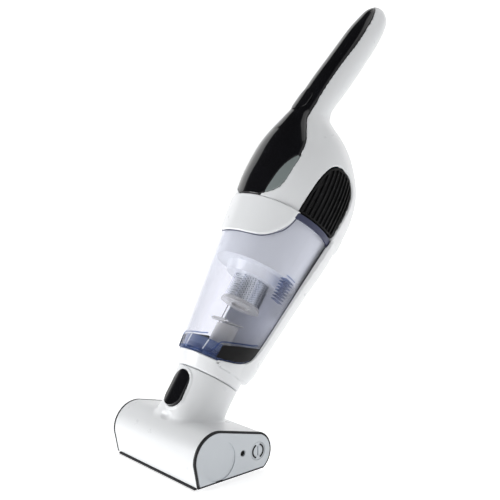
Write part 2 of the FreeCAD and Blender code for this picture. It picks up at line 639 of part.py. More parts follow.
def build_power_train():
    inner = ring(239.0, DOME[0][1] - WALL - 0.2, DOME[0][2] + WALL + 0.2, DOME[0][3] - WALL - 0.2)
    plate = extrude(inner, V(0, 0, 2.6))
    plate = plate.cut(tube_along(20.0, 230, 250, MOTOR_V))
    for v in (-50.0, 60.0):
        plate = plate.cut(tube_along(2.2, 230, 250, v))
    flanks = grille_region(-0.3).cut(box(-44, 44, -100, 100, 200, 400))
    add("motor_plate", plate.cut(flanks))
    seal = tube_along(25.0, 236.4, 239.0, MOTOR_V).cut(tube_along(20.5, 230, 250, MOTOR_V))
    add("intake_seal", seal)
    mount = tube_along(41.0, 241.6, 246.0, MOTOR_V).cut(tube_along(24.0, 240, 250, MOTOR_V))
    add("motor_mount", mount)
    shroud = tube_along(40.0, 246.0, 262.0, MOTOR_V)
    shroud = shroud.cut(tube_along(37.6, 248.0, 260.0, MOTOR_V)).cut(tube_along(18.0, 240, 249, MOTOR_V))
    shroud = shroud.cut(tube_along(3.6, 259, 263, MOTOR_V))
    vents = Part.makeBox(4, 16, 6, at(33, 16, 251.0))
    vents = spin_copies(vents, 12, at(0, MOTOR_V, 0), V(0, 0, 1))
    add("fan_housing", shroud.cut(vents))
    can = tube_along(31.0, 262.0, 291.0, MOTOR_V).cut(tube_along(2.55, 260, 276, MOTOR_V))
    add("suction_motor", can)
    shaft = tube_along(2.5, 250.5, 275.0, MOTOR_V)
    hub = tube_along(8.0, 251.0, 258.4, MOTOR_V, 6.0)
    disc = tube_along(35.0, 257.2, 258.8, MOTOR_V)
    blade = Part.makeBox(27.5, 1.4, 6.0, at(6.5, MOTOR_V + 0.7, 251.4))
    blades = spin_copies(blade, 9, at(0, MOTOR_V, 0), V(0, 0, 1))
    wheel = fuse([hub, disc] + blades).cut(tube_along(2.5, 240, 262, MOTOR_V))
    add("motor_shaft", shaft)
    add("impeller", wheel)

    cells = []
    holes = []
    for u in (306.0, 325.4):
        for v in (-3.0, 16.4, 35.8):
            cells.append(Part.makeCylinder(9.2, 65.0, at(-32.5, v, u), V(1, 0, 0)))
            holes.append(Part.makeCylinder(9.25, 65.0, at(-32.5, v, u), V(1, 0, 0)))
    add("battery_cells", Part.makeCompound(cells))
    holder = None
    for x in (-28.0, 24.0):
        plate = Part.makeBox(4, 61.0, 43.6, at(x, 46.8, 294.0))
        holder = plate if holder is None else holder.fuse(plate)
    holder = holder.fuse(Part.makeBox(56, 61.0, 2.0, at(-28, 46.8, 292.2)))
    add("battery_holder", holder.cut(holes).common(section_loft(DOME, WALL + 0.3)))

    back = V(0, 1, 0)
    body = Part.makeCylinder(5.0, 11.0, at(0, -52.6, SOCKET_U), back)
    flange = Part.makeCylinder(7.0, 1.6, at(0, -56.4, SOCKET_U), back)
    bore = Part.makeCylinder(SOCKET_R, 12.0, at(0, -54.6, SOCKET_U), back)
    pin = Part.makeCylinder(1.0, 7.0, at(0, -54.6, SOCKET_U), back)
    add("charge_socket", body.fuse(flange).cut(bore).fuse(pin))

    tube = tube_along(NOZZLE_R, 17.0, 63.0, NOZZLE_V)
    add("nozzle_tube", tube.cut(tube_along(NOZZLE_R - WALL, 16.0, 64.0, NOZZLE_V)))


# ------------------------------------------------------------------ dust cup
def build_cup():
    glass = cup_cone(CUP_LOW + 3.0, CUP_HIGH, 0.0).cut(cup_cone(CUP_LOW + 2.0, CUP_HIGH + 1, -CUP_WALL))
    add("dust_bin", glass)
    cuff = cup_cone(CUP_LOW + 2.9, CUP_LOW + 8.0, -CUP_WALL - 0.1)
    base = cup_cone(CUP_LOW, CUP_LOW + 3.0, 0.0).fuse(cuff)
    base = base.cut(cup_cone(CUP_LOW + 2.8, CUP_LOW + 9.0, -CUP_WALL - 2.0))
    base = base.cut(tube_along(PIPE_R, 60, 80, PIPE_V))
    add("bin_base", base)
    pipe = tube_along(PIPE_R, CUP_LOW + 0.2, 118.0, PIPE_V).cut(tube_along(PIPE_R - 1.6, 60, 125, PIPE_V))
    wedge = side_prism(((104.0, 32.0), (123.0, 32.0), (123.0, -4.0), (110.0, -4.0)), -30, 30, False)
    add("inlet_pipe", pipe.cut(wedge))

    band = cup_cone(229.0, 235.4, 1.6).cut(cup_cone(228.0, 236.0, 0.05))
    add("bin_seal_ring", band)
    chin = cup_cone(190.0, 236.5, 2.8).cut(cup_cone(189.0, 237.0, 0.05)).cut(cup_cone(228.9, 235.5, 1.65))
    chin = chin.common(chin_region())
    add("cup_collar", chin)

    outer = cup_cone(172.0, 230.0, -CUP_WALL - 1.4)
    inner = cup_cone(174.0, 231.0, -CUP_WALL - 3.2)
    can = outer.cut(inner).cut(tube_along(28.0, 170, 175, CUP_V))
    lip = cup_cone(230.0, 232.0, -CUP_WALL - 0.1).cut(cup_cone(229.0, 233.0, -CUP_WALL - 3.2))
    add("filter_housing", can.fuse(lip))
    shroud = tube_along(30.0, 162.0, 172.0, CUP_V, 33.0).cut(tube_along(19.0, 161, 173, CUP_V))
    add("cyclone_shroud", shroud)
    mesh = tube_along(18.0, 135.4, 172.0, CUP_V).cut(tube_along(16.8, 130, 180, CUP_V))
    add("mesh_screen", mesh)
    collar = tube_along(22.5, 131.0, 135.4, CUP_V, 21.0).cut(tube_along(10.0, 130, 133.6, CUP_V))
    add("vortex_ring", collar)
    rib = Part.makeBox(1.7, 1.4, 162.0 - 135.4, at(19.2, CUP_V + 0.7, 135.4))
    add("screen_cage", Part.makeCompound(spin_copies(rib, 8, at(0, CUP_V, 0), V(0, 0, 1), 22.5)))

    pleats = []
    count = 30
    for i in range(count):
        for radius, shift in ((38.0, 0.0), (27.0, 0.5)):
            angle = 2 * math.pi * (i + shift) / count
            pleats.append(at(radius * math.cos(angle), CUP_V + radius * math.sin(angle), 178.0))
    star = extrude(Part.makePolygon(pleats + [pleats[0]]), V(0, 0, 44.0))
    add("pleated_filter", star.cut(tube_along(22.0, 170, 230, CUP_V)))
    top = cup_cone(232.0, 235.9, -CUP_WALL - 0.1).cut(tube_along(21.0, 220, 240, MOTOR_V))
    add("filter_cap", top)

    for side, label in ((1, "right"), (-1, "left")):
        add("bin_latch_" + label, latch(side))
    add("inlet_flap", flap())
    add("flap_pin", Part.makeCylinder(1.0, 26.0, at(-13.0, FLAP_V, FLAP_U), V(1, 0, 0)))


def chin_region():
    """Front block whose lower edge dips round the cup."""
    rows = [
        (240.0, 52.4), (232.0, 51.4), (219.5, 48.2), (207.0, 41.8), (199.0, 34.0),
        (195.8, 22.0), (195.2, 8.0),
    ]
    points = [at(half, 30.0, u) for u, half in rows]
    mirrored = [at(-p.x, 30.0, p.z) for p in reversed(points)]
    curve = Part.BSplineCurve()
    curve.interpolate(points + mirrored)
    wire = Part.Wire([curve.toShape(), Part.makeLine(mirrored[-1], points[0])])
    return extrude(wire, V(0, -80, 0))


def latch(side):
    """Curved pad over the cup's lower flank, above the collar edge."""
    pad = cup_cone(60.0, 110.0, 2.2).cut(cup_cone(59.0, 111.0, 1.2))
    outline = (
        (65.6, 36.0), (67.3, 28.6), (69.6, 20.6), (73.2, 11.6), (77.0, 5.4), (81.4, 1.0), (86.6, -2.0),
        (93.2, -3.8), (94.8, -3.4), (94.9, -1.8), (91.0, 8.6), (86.6, 20.8),
        (80.4, 34.2), (79.2, 35.8), (78.0, 36.4),
    )
    block = side_prism(outline, 0 if side > 0 else -90, 90 if side > 0 else 0, False)
    return pad.common(block)


def flap():
    """Thin door over the slanted mouth of the inlet pipe, hinged at its front edge."""
    near = (FLAP_U - 1.4, FLAP_V)
    far = (FLAP_U + 3.6, PIPE_V - PIPE_R + 0.4)
    outline = (near, (near[0] + 1.2, near[1]), (far[0] + 1.2, far[1]), far)
    plate = side_prism(outline, -11.0, 11.0, False)
    knuckle = Part.makeCylinder(2.0, 20.0, at(-10.0, FLAP_V, FLAP_U), V(1, 0, 0))
    return plate.fuse(knuckle).cut(Part.makeCylinder(1.05, 40.0, at(-20.0, FLAP_V, FLAP_U), V(1, 0, 0)))


def main():
    os.makedirs("parts", exist_ok=True)
    build_head()
    build_brush()
    build_rollers()
    build_release()
    build_housing()
    build_power_train()
    build_cup()
    for name, shape in PARTS.items():
        shape.exportStep("parts/" + name + ".step")
        facts = (name, len(shape.Solids), shape.isValid(), shape.Volume)
        print("%-24s solids %d valid %s volume %.0f" % facts)
    print(len(PARTS), "nodes")


main()
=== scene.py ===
import json
import math

import bmesh
import bpy
import numpy as np
from mathutils import Matrix, Vector


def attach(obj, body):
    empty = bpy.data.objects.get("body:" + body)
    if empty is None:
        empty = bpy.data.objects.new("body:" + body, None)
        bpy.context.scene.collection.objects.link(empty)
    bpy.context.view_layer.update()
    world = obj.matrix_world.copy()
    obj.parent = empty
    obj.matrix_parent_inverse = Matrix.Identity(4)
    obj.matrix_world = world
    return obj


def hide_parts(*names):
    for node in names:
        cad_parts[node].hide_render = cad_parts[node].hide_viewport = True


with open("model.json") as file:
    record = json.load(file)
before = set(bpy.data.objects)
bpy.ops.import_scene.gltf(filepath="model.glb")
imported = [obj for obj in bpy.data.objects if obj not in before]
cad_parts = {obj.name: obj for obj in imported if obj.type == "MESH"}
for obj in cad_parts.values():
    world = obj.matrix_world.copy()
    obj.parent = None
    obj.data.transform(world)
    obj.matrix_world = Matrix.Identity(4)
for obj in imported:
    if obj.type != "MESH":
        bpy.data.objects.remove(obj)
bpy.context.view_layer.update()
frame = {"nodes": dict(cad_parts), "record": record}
NODES = frame["nodes"]

MM = 0.001
TILT = math.radians(35.0)
LIFT = 40.0
SHARP = math.radians(38)

# Dust cup: its axis and the outer radius at one height, with the growth per millimetre upwards
CUP_V = 11.5
CUP_U = 65.0
CUP_R = 38.0
CUP_GROWTH = 0.115
CUP_WALL = 2.0
CHIN_WALL = 2.72
GRILLE_PITCH = 5.7
VANE_COUNT = 9
VANE_PITCH = 3.4
VANE_LOW = 147.5
LOCK_Y, LOCK_Z = 29.4, 22.0
CT, ST = math.cos(TILT), math.sin(TILT)


# ---------------------------------------------------------------- frames and curves
def to_world(points):
    """Body-frame points in millimetres (x, y = away from the front, z = along the axis) to the world."""
    x, y, z = np.asarray(points, float).T
    return np.stack([x, CT * y + ST * z, LIFT - ST * y + CT * z], 1) * MM


def plain_mm(points):
    return np.asarray(points, float) * MM


def to_body(x, y, z):
    """World millimetres to (x, v = towards the front, u = along the axis)."""
    return x, -CT * y + ST * (z - LIFT), ST * y + CT * (z - LIFT)


def spline(knots, values):
    """Natural cubic through the knots, as a function of an array or a number."""
    t = np.asarray(knots, float)
    y = np.asarray(values, float)
    n = len(t)
    h = np.diff(t)
    a = np.zeros((n, n))
    b = np.zeros(n)
    a[0, 0] = a[-1, -1] = 1
    for i in range(1, n - 1):
        a[i, i - 1], a[i, i], a[i, i + 1] = h[i - 1], 2 * (h[i - 1] + h[i]), h[i]
        b[i] = 6 * ((y[i + 1] - y[i]) / h[i] - (y[i] - y[i - 1]) / h[i - 1])
    m = np.linalg.solve(a, b)

    def value(s):
        s = np.clip(s, t[0], t[-1])
        i = np.clip(np.searchsorted(t, s) - 1, 0, n - 2)
        p, q = t[i + 1] - s, s - t[i]
        hi = h[i]
        cubic = (m[i] * p ** 3 + m[i + 1] * q ** 3) / (6 * hi)
        return cubic + (y[i] / hi - m[i] * hi / 6) * p + (y[i + 1] / hi - m[i + 1] * hi / 6) * q

    return value


def closed_curve(points, steps=8):
    """Catmull-Rom round a closed list of points."""
    p = np.asarray(points, float)
    out = []
    for i in range(len(p)):
        p0, p1, p2, p3 = p[i - 1], p[i], p[(i + 1) % len(p)], p[(i + 2) % len(p)]
        for k in range(steps):
            t = k / steps
            out.append(0.5 * (2 * p1 + (p2 - p0) * t + (2 * p0 - 5 * p1 + 4 * p2 - p3) * t * t
                              + (3 * p1 - p0 - 3 * p2 + p3) * t ** 3))
    return np.array(out)


class Outline:
    """Signed distance to a closed outline in a plane, below zero inside, read from a fine table."""

    def __init__(self, points, step=0.6, margin=14.0):
        p = np.asarray(points, float)
        self.step = step
        self.lo = p.min(0) - margin
        self.size = (np.ceil((p.max(0) + margin - self.lo) / step) + 1).astype(int)
        gx = self.lo[0] + step * np.arange(self.size[0])
        gy = self.lo[1] + step * np.arange(self.size[1])
        X, Y = np.meshgrid(gx, gy, indexing="ij")
        best = np.full(X.shape, 1e9)
        inside = np.zeros(X.shape, bool)
        for a, b in zip(p, np.roll(p, -1, 0)):
            d = b - a
            length = d @ d
            if length < 1e-12:
                continue
            t = np.clip(((X - a[0]) * d[0] + (Y - a[1]) * d[1]) / length, 0, 1)
            best = np.minimum(best, (X - a[0] - t * d[0]) ** 2 + (Y - a[1] - t * d[1]) ** 2)
            if a[1] != b[1]:
                crosses = (a[1] > Y) != (b[1] > Y)
                inside ^= crosses & (X < (b[0] - a[0]) * (Y - a[1]) / (b[1] - a[1]) + a[0])
        self.table = np.where(inside, -np.sqrt(best), np.sqrt(best))

    def __call__(self, a, b):
        fx = np.clip((a - self.lo[0]) / self.step, 0, self.size[0] - 1.001)
        fy = np.clip((b - self.lo[1]) / self.step, 0, self.size[1] - 1.001)
        i, j = np.floor(fx).astype(int), np.floor(fy).astype(int)
        p, q = fx - i, fy - j
        t = self.table
        return (t[i, j] * (1 - p) * (1 - q) + t[i + 1, j] * p * (1 - q)
                + t[i, j + 1] * (1 - p) * q + t[i + 1, j + 1] * p * q)


def smin(a, b, k):
    h = np.maximum(k - np.abs(a - b), 0) / k
    return np.minimum(a, b) - h * h * k * 0.25


def smax(a, b, k):
    return -smin(-a, -b, k)


def bevel_and(a, b, size):
    """Where both hold, with a flat bevel of that size along their shared edge."""
    return np.maximum(np.maximum(a, b), (a + b + size) * 0.70711)


def smooth_step(t):
    t = np.clip(t, 0, 1)
    return t * t * (3 - 2 * t)


# ---------------------------------------------------------------- meshes
def new_object(name, verts, faces, material, body, normals=None, replaces=()):
    mesh = bpy.data.meshes.new(name)
    faces = [np.asarray(f) for f in faces] if isinstance(faces, list) else faces
    if isinstance(faces, np.ndarray):
        n, k = faces.shape
        mesh.vertices.add(len(verts))
        mesh.vertices.foreach_set("co", np.asarray(verts, np.float32).ravel())
        mesh.loops.add(n * k)
        mesh.loops.foreach_set("vertex_index", faces.astype(np.int32).ravel())
        mesh.polygons.add(n)
        mesh.polygons.foreach_set("loop_start", np.arange(0, n * k, k, dtype=np.int32))
        mesh.update(calc_edges=True)
    else:
        mesh.from_pydata([tuple(v) for v in verts], [], [tuple(int(i) for i in f) for f in faces])
        shape = bmesh.new()
        shape.from_mesh(mesh)
        bmesh.ops.recalc_face_normals(shape, faces=shape.faces)
        shape.to_mesh(mesh)
        shape.free()
    mesh.validate()
    mesh.polygons.foreach_set("use_smooth", np.ones(len(mesh.polygons), bool))
    if normals is None:
        mesh.set_sharp_from_angle(angle=SHARP)
    else:
        mesh.normals_split_custom_set_from_vertices([tuple(n) for n in normals])
    mesh.materials.append(material)
    o = bpy.data.objects.new(name, mesh)
    bpy.context.scene.collection.objects.link(o)
    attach(o, body)
    if replaces:
        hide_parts(*replaces)
    return o


def gradient(field, p, eps=0.25):
    x, y, z = p.T
    g = np.stack([
        field(x + eps, y, z) - field(x - eps, y, z),
        field(x, y + eps, z) - field(x, y - eps, z),
        field(x, y, z + eps) - field(x, y, z - eps),
    ], 1) / (2 * eps)
    return g


def net(field, lo, hi, step):
    """Surface of a field's zero level: vertices, quads and normals."""
    axes = [np.arange(lo[k], hi[k] + step, step) for k in range(3)]
    nx, ny, nz = (len(a) for a in axes)
    F = np.empty((nx, ny, nz), np.float32)
    X, Y = np.meshgrid(axes[0], axes[1], indexing="ij")
    for k, z in enumerate(axes[2]):
        F[:, :, k] = field(X, Y, np.full_like(X, z))
    inside = F < 0
    count = np.zeros((nx - 1, ny - 1, nz - 1), np.int8)
    corners = [(i, j, k) for i in (0, 1) for j in (0, 1) for k in (0, 1)]
    for i, j, k in corners:
        count += inside[i:nx - 1 + i, j:ny - 1 + j, k:nz - 1 + k]
    mixed = (count > 0) & (count < 8)
    cells = np.argwhere(mixed)
    index = np.full(mixed.shape, -1, np.int32)
    index[mixed] = np.arange(len(cells))
    value = np.stack([F[cells[:, 0] + i, cells[:, 1] + j, cells[:, 2] + k] for i, j, k in corners], 1)
    total = np.zeros((len(cells), 3))
    hits = np.zeros(len(cells))
    corner = np.array(corners, float)
    for a in range(8):
        for b in range(a + 1, 8):
            if np.abs(corner[a] - corner[b]).sum() != 1:
                continue
            fa, fb = value[:, a], value[:, b]
            cross = (fa < 0) != (fb < 0)
            t = np.where(cross, fa / np.where(cross, fa - fb, 1), 0)
            total += np.where(cross[:, None], corner[a] + t[:, None] * (corner[b] - corner[a]), 0)
            hits += cross
    verts = (cells + total / hits[:, None]) * step + np.array([a[0] for a in axes])
    quads = []
    for axis in range(3):
        u, w = (axis + 1) % 3, (axis + 2) % 3
        first = [slice(None)] * 3
        second = [slice(None)] * 3
        first[axis] = slice(0, -1)
        second[axis] = slice(1, None)
        low, high = inside[tuple(first)], inside[tuple(second)]
        where = np.argwhere(low != high)
        keep = (where[:, u] > 0) & (where[:, w] > 0)
        keep &= (where[:, u] < mixed.shape[u]) & (where[:, w] < mixed.shape[w])
        where = where[keep]
        ring = []
        for du, dw in ((-1, -1), (0, -1), (0, 0), (-1, 0)):
            at = where.copy()
            at[:, u] += du
            at[:, w] += dw
            ring.append(index[at[:, 0], at[:, 1], at[:, 2]])
        quad = np.stack(ring, 1)
        flip = ~low[where[:, 0], where[:, 1], where[:, 2]]
        quad[flip] = quad[flip][:, ::-1]
        quads.append(quad)
    quads = np.concatenate(quads)
    start = quads.ravel()
    after = np.roll(quads, -1, 1).ravel()
    before = np.roll(quads, 1, 1).ravel()
    share = 2.0 * np.maximum(np.bincount(start, minlength=len(verts)), 1)
    for turn in range(4):
        f = field(*verts.T)
        g = gradient(field, verts)
        size = (g * g).sum(1)
        move = np.clip(f / np.maximum(size, 0.25), -0.5 * step, 0.5 * step)
        verts = verts - g * move[:, None]
        if turn == 3:
            break
        unit = g / np.maximum(np.sqrt(size), 1e-9)[:, None]
        around = verts[after] + verts[before]
        pull = np.stack([np.bincount(start, around[:, k], len(verts)) / share for k in range(3)], 1) - verts
        verts = verts + 0.6 * (pull - unit * (pull * unit).sum(1)[:, None])
    g = gradient(field, verts)
    normals = g / np.maximum(np.linalg.norm(g, axis=1), 1e-9)[:, None]
    return verts, quads, normals


def body_net(name, field, lo, hi, step, material, body, replaces=()):
    verts, quads, normals = net(field, lo, hi, step)
    turned = to_world(normals / MM + 0.0) - to_world(np.zeros((1, 3)))
    return new_object(name, to_world(verts), quads, material, body, turned, replaces)


def plain_net(name, field, lo, hi, step, material, body, replaces=()):
    verts, quads, normals = net(field, lo, hi, step)
    return new_object(name, plain_mm(verts), quads, material, body, normals, replaces)


def lathe(profile, segments=160, arc=None):
    """Closed ring of a (radius, height) profile turned about the z axis; arc gives a part turn in radians."""
    p = np.asarray(profile, float)
    m = len(p)
    start, end = arc if arc else (0, 2 * math.pi)
    steps = segments if arc is None else segments + 1
    angles = start + (end - start) * np.arange(steps) / segments
    radius, height = p.T
    verts = np.concatenate([
        np.stack([radius * math.cos(a), radius * math.sin(a), height], 1) for a in angles])
    faces = []
    for i in range(segments):
        j = (i + 1) % steps
        for k in range(m):
            n = (k + 1) % m
            faces.append((i * m + k, j * m + k, j * m + n, i * m + n))
    if arc:
        faces.append(tuple(range(m))[::-1])
        faces.append(tuple((steps - 1) * m + k for k in range(m)))
    return verts, faces


# ---------------------------------------------------------------- materials
def nodes_of(name):
    m = bpy.data.materials.new(name)
    m.use_nodes = True
    t = m.node_tree
    t.nodes.clear()
    return m, t


def link(t, a, b):
    t.links.new(a, b)


def noise(t, where, scale, detail=3.0, rough=0.5):
    n = t.nodes.new("ShaderNodeTexNoise")
    n.inputs["Scale"].default_value = scale
    n.inputs["Detail"].default_value = detail
    n.inputs["Roughness"].default_value = rough
    link(t, where, n.inputs["Vector"])
    return n.outputs["Fac"]


def spread(t, value, low, high, start=0.3, end=0.7):
    n = t.nodes.new("ShaderNodeMapRange")
    n.inputs["From Min"].default_value = start
    n.inputs["From Max"].default_value = end
    n.inputs["To Min"].default_value = low
    n.inputs["To Max"].default_value = high
    link(t, value, n.inputs["Value"])
    return n.outputs["Result"]


def mix_colour(t, fac, a, b):
    n = t.nodes.new("ShaderNodeMix")
    n.data_type = "RGBA"
    for socket, value in ((n.inputs[6], a), (n.inputs[7], b)):
        if isinstance(value, tuple):
            socket.default_value = (*value, 1)
        else:
            link(t, value, socket)
    link(t, fac, n.inputs[0])
    return n.outputs[2]


def moulded(name, a, b, rough, grain=1500.0, bump=0.03, coat=0.0, patch=22.0, specular=0.5):
    """Moulded plastic: two close colours in soft patches, fine skin grain, roughness that drifts."""
    m, t = nodes_of(name)
    out = t.nodes.new("ShaderNodeOutputMaterial")
    p = t.nodes.new("ShaderNodeBsdfPrincipled")
    where = t.nodes.new("ShaderNodeTexCoord").outputs["Object"]
    patches = noise(t, where, patch, 4.0)
    colour = mix_colour(t, spread(t, patches, 0, 1), a, b)
    link(t, colour, p.inputs["Base Color"])
    smear = noise(t, where, 55.0, 5.0, 0.6)
    link(t, spread(t, smear, rough[0], rough[1]), p.inputs["Roughness"])
    fine = noise(t, where, grain, 2.0)
    bumps = t.nodes.new("ShaderNodeBump")
    bumps.inputs["Strength"].default_value = bump
    bumps.inputs["Distance"].default_value = 0.0004
    link(t, fine, bumps.inputs["Height"])
    link(t, bumps.outputs["Normal"], p.inputs["Normal"])
    p.inputs["Specular IOR Level"].default_value = specular
    if coat:
        p.inputs["Coat Weight"].default_value = coat
        p.inputs["Coat Roughness"].default_value = 0.04
    link(t, p.outputs["BSDF"], out.inputs["Surface"])
    return m


def clear(name, tint, veil, veil_share, edge_share, rough=0.06, scratches=0.02):
    """Clear plastic wall: tinted light passes, and a faint veil and gloss grow towards the edges."""
    m, t = nodes_of(name)
    out = t.nodes.new("ShaderNodeOutputMaterial")
    p = t.nodes.new("ShaderNodeBsdfPrincipled")
    through = t.nodes.new("ShaderNodeBsdfTransparent")
    mix = t.nodes.new("ShaderNodeMixShader")
    where = t.nodes.new("ShaderNodeTexCoord").outputs["Object"]
    haze = noise(t, where, 30.0, 4.0)
    pale = tuple(min(1.0, c * 1.06) for c in veil)
    link(t, mix_colour(t, spread(t, haze, 0, 1), veil, pale), p.inputs["Base Color"])
    link(t, spread(t, noise(t, where, 80.0, 5.0), rough * 0.6, rough * 1.6), p.inputs["Roughness"])
    fine = noise(t, where, 420.0, 3.0)
    bumps = t.nodes.new("ShaderNodeBump")
    bumps.inputs["Strength"].default_value = scratches
    bumps.inputs["Distance"].default_value = 0.0003
    link(t, fine, bumps.inputs["Height"])
    link(t, bumps.outputs["Normal"], p.inputs["Normal"])
    through.inputs["Color"].default_value = (*tint, 1)
    facing = t.nodes.new("ShaderNodeLayerWeight")
    facing.inputs["Blend"].default_value = 0.35
    share = spread(t, facing.outputs["Facing"], veil_share, edge_share, 0.15, 0.95)
    link(t, share, mix.inputs["Fac"])
    link(t, through.outputs["BSDF"], mix.inputs[1])
    link(t, p.outputs["BSDF"], mix.inputs[2])
    link(t, mix.outputs["Shader"], out.inputs["Surface"])
    return m


def spotted_mesh(name):
    """Fine woven steel screen: dark pores between bright wires."""
    m, t = nodes_of(name)
    out = t.nodes.new("ShaderNodeOutputMaterial")
    p = t.nodes.new("ShaderNodeBsdfPrincipled")
    where = t.nodes.new("ShaderNodeTexCoord").outputs["Object"]
    cells = t.nodes.new("ShaderNodeTexVoronoi")
    cells.inputs["Scale"].default_value = 520.0
    cells.inputs["Randomness"].default_value = 0.12
    link(t, where, cells.inputs["Vector"])
    pores = spread(t, cells.outputs["Distance"], 0, 1, 0.22, 0.5)
    link(t, mix_colour(t, pores, (0.20, 0.24, 0.28), (0.86, 0.88, 0.90)), p.inputs["Base Color"])
    link(t, spread(t, noise(t, where, 60.0), 0.28, 0.42), p.inputs["Roughness"])
    bumps = t.nodes.new("ShaderNodeBump")
    bumps.inputs["Strength"].default_value = 0.6
    bumps.inputs["Distance"].default_value = 0.0004
    link(t, cells.outputs["Distance"], bumps.inputs["Height"])
    link(t, bumps.outputs["Normal"], p.inputs["Normal"])
    p.inputs["Metallic"].default_value = 0.75
    link(t, p.outputs["BSDF"], out.inputs["Surface"])
    return m


def fibrous(name, a, b, scale, stretch, rough=(0.75, 0.95), bump=0.5, sheen=0.3):
    """Felt, filter paper and hair: stretched noise in colour and bump, with a soft sheen."""
    m, t = nodes_of(name)
    out = t.nodes.new("ShaderNodeOutputMaterial")
    p = t.nodes.new("ShaderNodeBsdfPrincipled")
    coords = t.nodes.new("ShaderNodeTexCoord").outputs["Object"]
    place = t.nodes.new("ShaderNodeMapping")
    place.inputs["Scale"].default_value = stretch
    link(t, coords, place.inputs["Vector"])
    where = place.outputs["Vector"]
    hair = noise(t, where, scale, 4.0, 0.65)
    link(t, mix_colour(t, spread(t, hair, 0, 1), a, b), p.inputs["Base Color"])
    link(t, spread(t, noise(t, where, scale * 0.3), rough[0], rough[1]), p.inputs["Roughness"])
    bumps = t.nodes.new("ShaderNodeBump")
    bumps.inputs["Strength"].default_value = bump
    bumps.inputs["Distance"].default_value = 0.0006
    link(t, hair, bumps.inputs["Height"])
    link(t, bumps.outputs["Normal"], p.inputs["Normal"])
    p.inputs["Sheen Weight"].default_value = sheen
    link(t, p.outputs["BSDF"], out.inputs["Surface"])
    return m


def banded(name, a, b, scale, rough=(0.22, 0.4), metallic=0.9, bump=0.25, axis="X"):
    """Turned or wound parts: fine bands across one axis."""
    m, t = nodes_of(name)
    out = t.nodes.new("ShaderNodeOutputMaterial")
    p = t.nodes.new("ShaderNodeBsdfPrincipled")
    where = t.nodes.new("ShaderNodeTexCoord").outputs["Object"]
    wave = t.nodes.new("ShaderNodeTexWave")
    wave.bands_direction = axis
    wave.inputs["Scale"].default_value = scale
    wave.inputs["Distortion"].default_value = 0.6
    wave.inputs["Detail"].default_value = 2.0
    link(t, where, wave.inputs["Vector"])
    link(t, mix_colour(t, wave.outputs["Fac"], a, b), p.inputs["Base Color"])
    link(t, spread(t, noise(t, where, 90.0), rough[0], rough[1]), p.inputs["Roughness"])
    bumps = t.nodes.new("ShaderNodeBump")
    bumps.inputs["Strength"].default_value = bump
    bumps.inputs["Distance"].default_value = 0.0002
    link(t, wave.outputs["Fac"], bumps.inputs["Height"])
    link(t, bumps.outputs["Normal"], p.inputs["Normal"])
    p.inputs["Metallic"].default_value = metallic
    link(t, p.outputs["BSDF"], out.inputs["Surface"])
    return m


M = {
    "white_shell": moulded("white_shell", (0.83, 0.845, 0.86), (0.815, 0.83, 0.846), (0.27, 0.32), 1700, 0.02,
                           coat=0.25, patch=7.0),
    "grey_cap": moulded("grey_cap", (0.63, 0.665, 0.70), (0.59, 0.625, 0.66), (0.34, 0.46), 1300, 0.06),
    "gloss_black": moulded("gloss_black", (0.004, 0.004, 0.005), (0.007, 0.007, 0.009), (0.08, 0.13),
                           900, 0.006, coat=0.35, specular=0.35),
    "matte_black": moulded("matte_black", (0.003, 0.003, 0.0035), (0.006, 0.006, 0.007), (0.38, 0.5),
                           1500, 0.12, specular=0.22),
    "soft_black": moulded("soft_black", (0.005, 0.005, 0.007), (0.010, 0.010, 0.012), (0.45, 0.6), 1200, 0.15,
                          specular=0.3),
    "smoke_clear": clear("smoke_clear", (0.955, 0.958, 0.98), (0.80, 0.82, 0.90), 0.03, 0.38),
    "blue_clear": clear("blue_clear", (0.62, 0.70, 0.88), (0.16, 0.22, 0.42), 0.16, 0.5, 0.05),
    "sump_tint": clear("sump_tint", (0.45, 0.55, 0.78), (0.20, 0.27, 0.46), 0.5, 0.75, 0.08),
    "milky": clear("milky", (0.96, 0.96, 0.96), (0.93, 0.92, 0.89), 0.38, 0.8, 0.2),
    "navy_seal": moulded("navy_seal", (0.030, 0.036, 0.085), (0.045, 0.052, 0.11), (0.3, 0.45), 1300, 0.08),
    "window_tint": moulded("window_tint", (0.20, 0.235, 0.235), (0.24, 0.275, 0.27), (0.05, 0.12),
                           800, 0.01, coat=0.7),
    "cream_plastic": moulded("cream_plastic", (0.80, 0.77, 0.66), (0.76, 0.72, 0.60), (0.3, 0.42),
                             1300, 0.05),
    "steel_mesh": spotted_mesh("steel_mesh"),
    "steel": banded("steel", (0.60, 0.60, 0.61), (0.70, 0.70, 0.71), 900),
    "filter_media": fibrous("filter_media", (0.86, 0.87, 0.85), (0.74, 0.75, 0.73), 900, (1, 1, 0.25)),
    "bristle": fibrous("bristle", (0.035, 0.037, 0.045), (0.075, 0.078, 0.09), 1500, (3, 1, 1),
                       (0.45, 0.7), 0.4, 0.15),
    "felt": fibrous("felt", (0.05, 0.05, 0.055), (0.10, 0.10, 0.105), 1100, (1, 1, 1)),
    "cell_wrap": moulded("cell_wrap", (0.05, 0.22, 0.36), (0.04, 0.18, 0.31), (0.2, 0.32), 1100, 0.04),
    "board": moulded("board", (0.02, 0.12, 0.06), (0.03, 0.16, 0.08), (0.35, 0.5), 1500, 0.2),
    "motor_steel": banded("motor_steel", (0.42, 0.42, 0.43), (0.52, 0.52, 0.53), 400),
    "grey_plastic": moulded("grey_plastic", (0.23, 0.24, 0.26), (0.28, 0.29, 0.31), (0.36, 0.5), 1300, 0.1),
}
NODE_SLOT = {s["node"]: s["material_slot"] for s in frame["record"]["subparts"]}
for node, o in NODES.items():
    o.data.materials.clear()
    o.data.materials.append(M[NODE_SLOT[node]])
